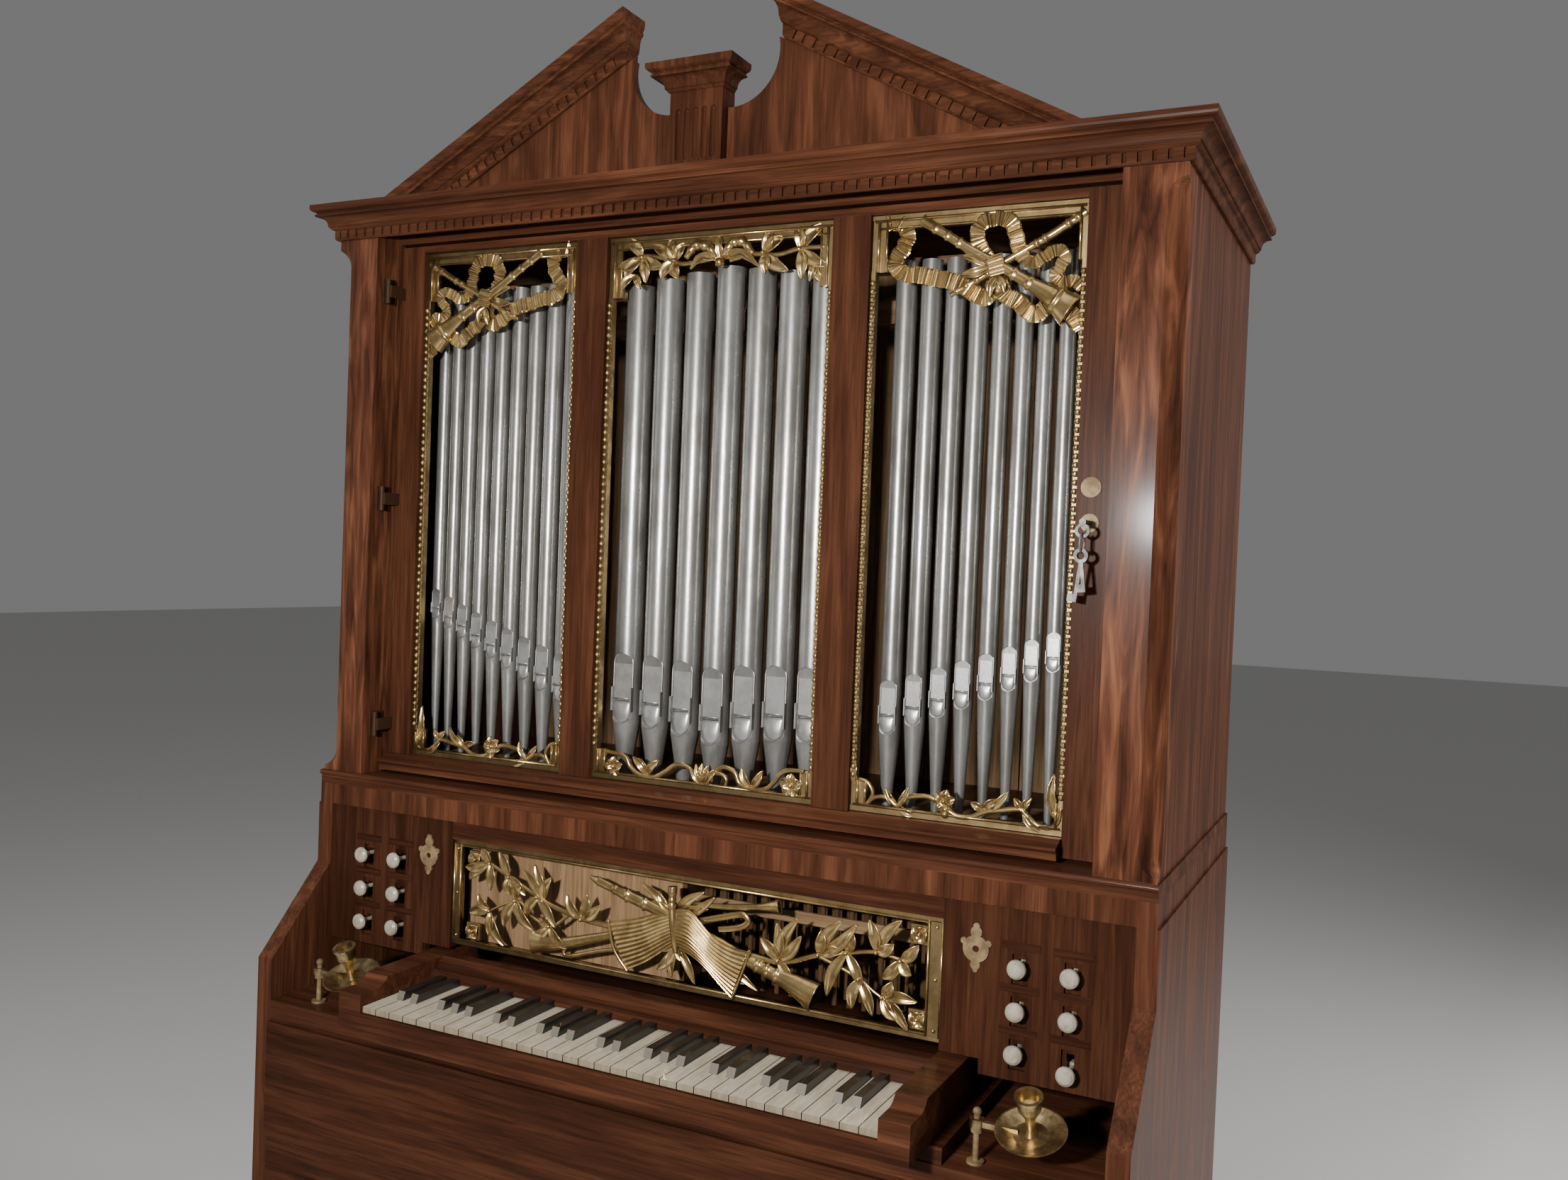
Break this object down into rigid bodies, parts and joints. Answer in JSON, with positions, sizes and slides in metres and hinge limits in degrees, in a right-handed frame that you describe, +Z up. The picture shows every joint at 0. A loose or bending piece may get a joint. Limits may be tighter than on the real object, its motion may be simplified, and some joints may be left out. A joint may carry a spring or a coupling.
{
  "type": "bureau pipe organ",
  "caption": "Mahogany bureau organ with a broken pediment, a hinged door of gilded fields before metal pipes, stop knobs beside a gilt panel, and a slide-in keyboard.",
  "frame": {"origin": "on the floor, on the centre line, under the door's front face", "axes": "+X to the player's right along the keyboard, +Y from the player to the back, +Z up"},
  "size_m": [1.31, 0.701, 2.074],
  "materials": {
    "mahogany": "French polished mahogany",
    "pine": "bare softwood",
    "gilt": "gilded carving",
    "brass": "aged brass",
    "tin": "dull polished pipe metal",
    "bone": "smooth bone",
    "ebony": "smooth ebony",
    "steel": "worn steel"
  },
  "bodies": {
    "case": {"plinth": "mahogany", "bureau_side_left": "mahogany", "bureau_side_right": "mahogany", "lower_front": "mahogany", "lower_front_panel": "mahogany", "desk_floor": "mahogany", "bureau_frieze": "mahogany", "shelf": "mahogany", "stop_jamb_left": "mahogany", "stop_jamb_right": "mahogany", "desk_top_rail": "mahogany", "upper_side_left": "mahogany", "upper_side_right": "mahogany", "corner_posts": "mahogany", "top_frieze": "mahogany", "cornice": "mahogany", "dentils": "mahogany", "tympanum": "mahogany", "raking_cornices": "mahogany", "pedestal": "mahogany", "bottom_board": "pine", "bureau_back": "pine", "key_bed": "pine", "action": "pine", "upper_back": "pine", "upper_roof": "pine", "windchest": "pine", "pipe_rack": "pine", "desk_fret": "gilt", "case_brasses": "brass", "pipes_left": "tin", "pipes_middle": "tin", "pipes_right": "tin"},
    "door": {"door_stiles": "mahogany", "door_rails": "mahogany", "fret_left": "gilt", "fret_middle": "gilt", "fret_right": "gilt", "door_brasses": "brass"},
    "keyboard": {"key_frame": "mahogany", "key_cheeks": "mahogany", "nameboard": "mahogany", "naturals": "bone", "sharps": "ebony"},
    "candle_arm_left": {"candle_arm_left": "brass"},
    "candle_arm_right": {"candle_arm_right": "brass"},
    "lock_key": {"lock_key": "steel"},
    "spare_keys": {"spare_keys": "steel"},
    "stop_left_1": {"stop_left_1": "bone"},
    "stop_left_2": {"stop_left_2": "bone"},
    "stop_left_3": {"stop_left_3": "bone"},
    "stop_left_4": {"stop_left_4": "bone"},
    "stop_left_5": {"stop_left_5": "bone"},
    "stop_left_6": {"stop_left_6": "bone"},
    "stop_right_1": {"stop_right_1": "bone"},
    "stop_right_2": {"stop_right_2": "bone"},
    "stop_right_3": {"stop_right_3": "bone"},
    "stop_right_4": {"stop_right_4": "bone"},
    "stop_right_5": {"stop_right_5": "bone"},
    "stop_right_6": {"stop_right_6": "bone"}
  },
  "joints": [
    {"name": "door_hinge", "type": "hinge", "parent": "case", "child": "door", "pos_m": [-0.5425, -0.03, 1.4], "axis": [0, 0, 1], "range_deg": [-95, 0]},
    {"name": "keyboard_slide", "type": "slide", "parent": "case", "child": "keyboard", "axis": [0, 1, 0], "range_m": [0, 0.065]},
    {"name": "candle_swing_left", "type": "hinge", "parent": "case", "child": "candle_arm_left", "pos_m": [-0.538, -0.13, 0.735], "axis": [0, 0, 1], "range_deg": [-75, 25]},
    {"name": "candle_swing_right", "type": "hinge", "parent": "case", "child": "candle_arm_right", "pos_m": [0.452, -0.13, 0.735], "axis": [0, 0, 1], "range_deg": [-75, 25]},
    {"name": "key_turn", "type": "hinge", "parent": "door", "child": "lock_key", "pos_m": [0.518, 0, 1.412], "axis": [0, 1, 0], "range_deg": [0, 90]},
    {"name": "spare_key_swing", "type": "hinge", "parent": "lock_key", "child": "spare_keys", "pos_m": [0.518, -0.034, 1.402], "axis": [0, 1, 0], "range_deg": [-10, 60]},
    {"name": "stop_left_1_slide", "type": "slide", "parent": "case", "child": "stop_left_1", "axis": [0, 0, 1], "range_m": [-0.012, 0]},
    {"name": "stop_left_2_slide", "type": "slide", "parent": "case", "child": "stop_left_2", "axis": [0, 0, 1], "range_m": [-0.012, 0]},
    {"name": "stop_left_3_slide", "type": "slide", "parent": "case", "child": "stop_left_3", "axis": [0, 0, 1], "range_m": [-0.012, 0]},
    {"name": "stop_left_4_slide", "type": "slide", "parent": "case", "child": "stop_left_4", "axis": [0, 0, 1], "range_m": [-0.012, 0]},
    {"name": "stop_left_5_slide", "type": "slide", "parent": "case", "child": "stop_left_5", "axis": [0, 0, 1], "range_m": [-0.012, 0]},
    {"name": "stop_left_6_slide", "type": "slide", "parent": "case", "child": "stop_left_6", "axis": [0, 0, 1], "range_m": [-0.012, 0]},
    {"name": "stop_right_1_slide", "type": "slide", "parent": "case", "child": "stop_right_1", "axis": [0, 0, 1], "range_m": [-0.012, 0]},
    {"name": "stop_right_2_slide", "type": "slide", "parent": "case", "child": "stop_right_2", "axis": [0, 0, 1], "range_m": [-0.012, 0]},
    {"name": "stop_right_3_slide", "type": "slide", "parent": "case", "child": "stop_right_3", "axis": [0, 0, 1], "range_m": [-0.012, 0]},
    {"name": "stop_right_4_slide", "type": "slide", "parent": "case", "child": "stop_right_4", "axis": [0, 0, 1], "range_m": [-0.012, 0]},
    {"name": "stop_right_5_slide", "type": "slide", "parent": "case", "child": "stop_right_5", "axis": [0, 0, 1], "range_m": [-0.012, 0]},
    {"name": "stop_right_6_slide", "type": "slide", "parent": "case", "child": "stop_right_6", "axis": [0, 0, 1], "range_m": [0, 0.012]}
  ]
}
